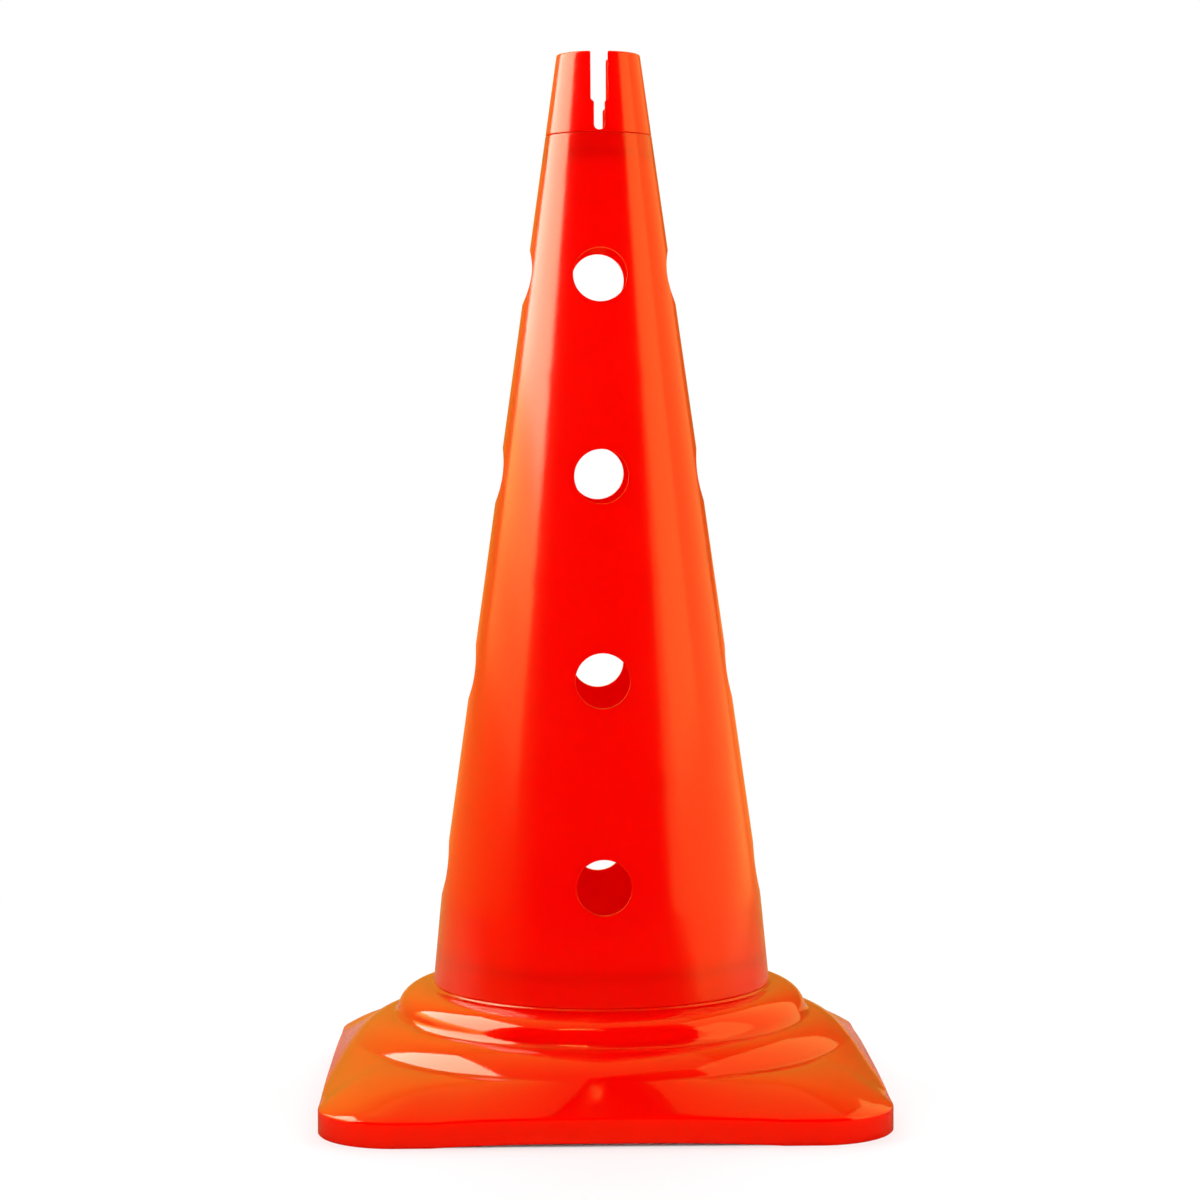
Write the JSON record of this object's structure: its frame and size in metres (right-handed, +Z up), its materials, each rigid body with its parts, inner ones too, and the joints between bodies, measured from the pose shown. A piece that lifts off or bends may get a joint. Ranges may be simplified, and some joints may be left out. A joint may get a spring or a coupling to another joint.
{
  "type": "training cone",
  "caption": "Tall tapered training cone with an open slotted tip, rows of through holes for hurdle poles, and a stepped round-cornered square base.",
  "frame": {"origin": "middle of the base on the floor, on the cone's axis", "axes": "+Z up along the cone's axis; the slotted front, as pictured, faces -Y; the sides of the base lie along X and Y"},
  "size_m": [0.268, 0.268, 0.508],
  "materials": {
    "tip_plastic": "glossy red moulded plastic",
    "body_plastic": "glossy red moulded plastic",
    "base_plastic": "glossy red moulded plastic"
  },
  "bodies": {
    "root": {"slotted_tip": "tip_plastic", "cone_body": "body_plastic", "base_skirt": "base_plastic"}
  },
  "joints": []
}
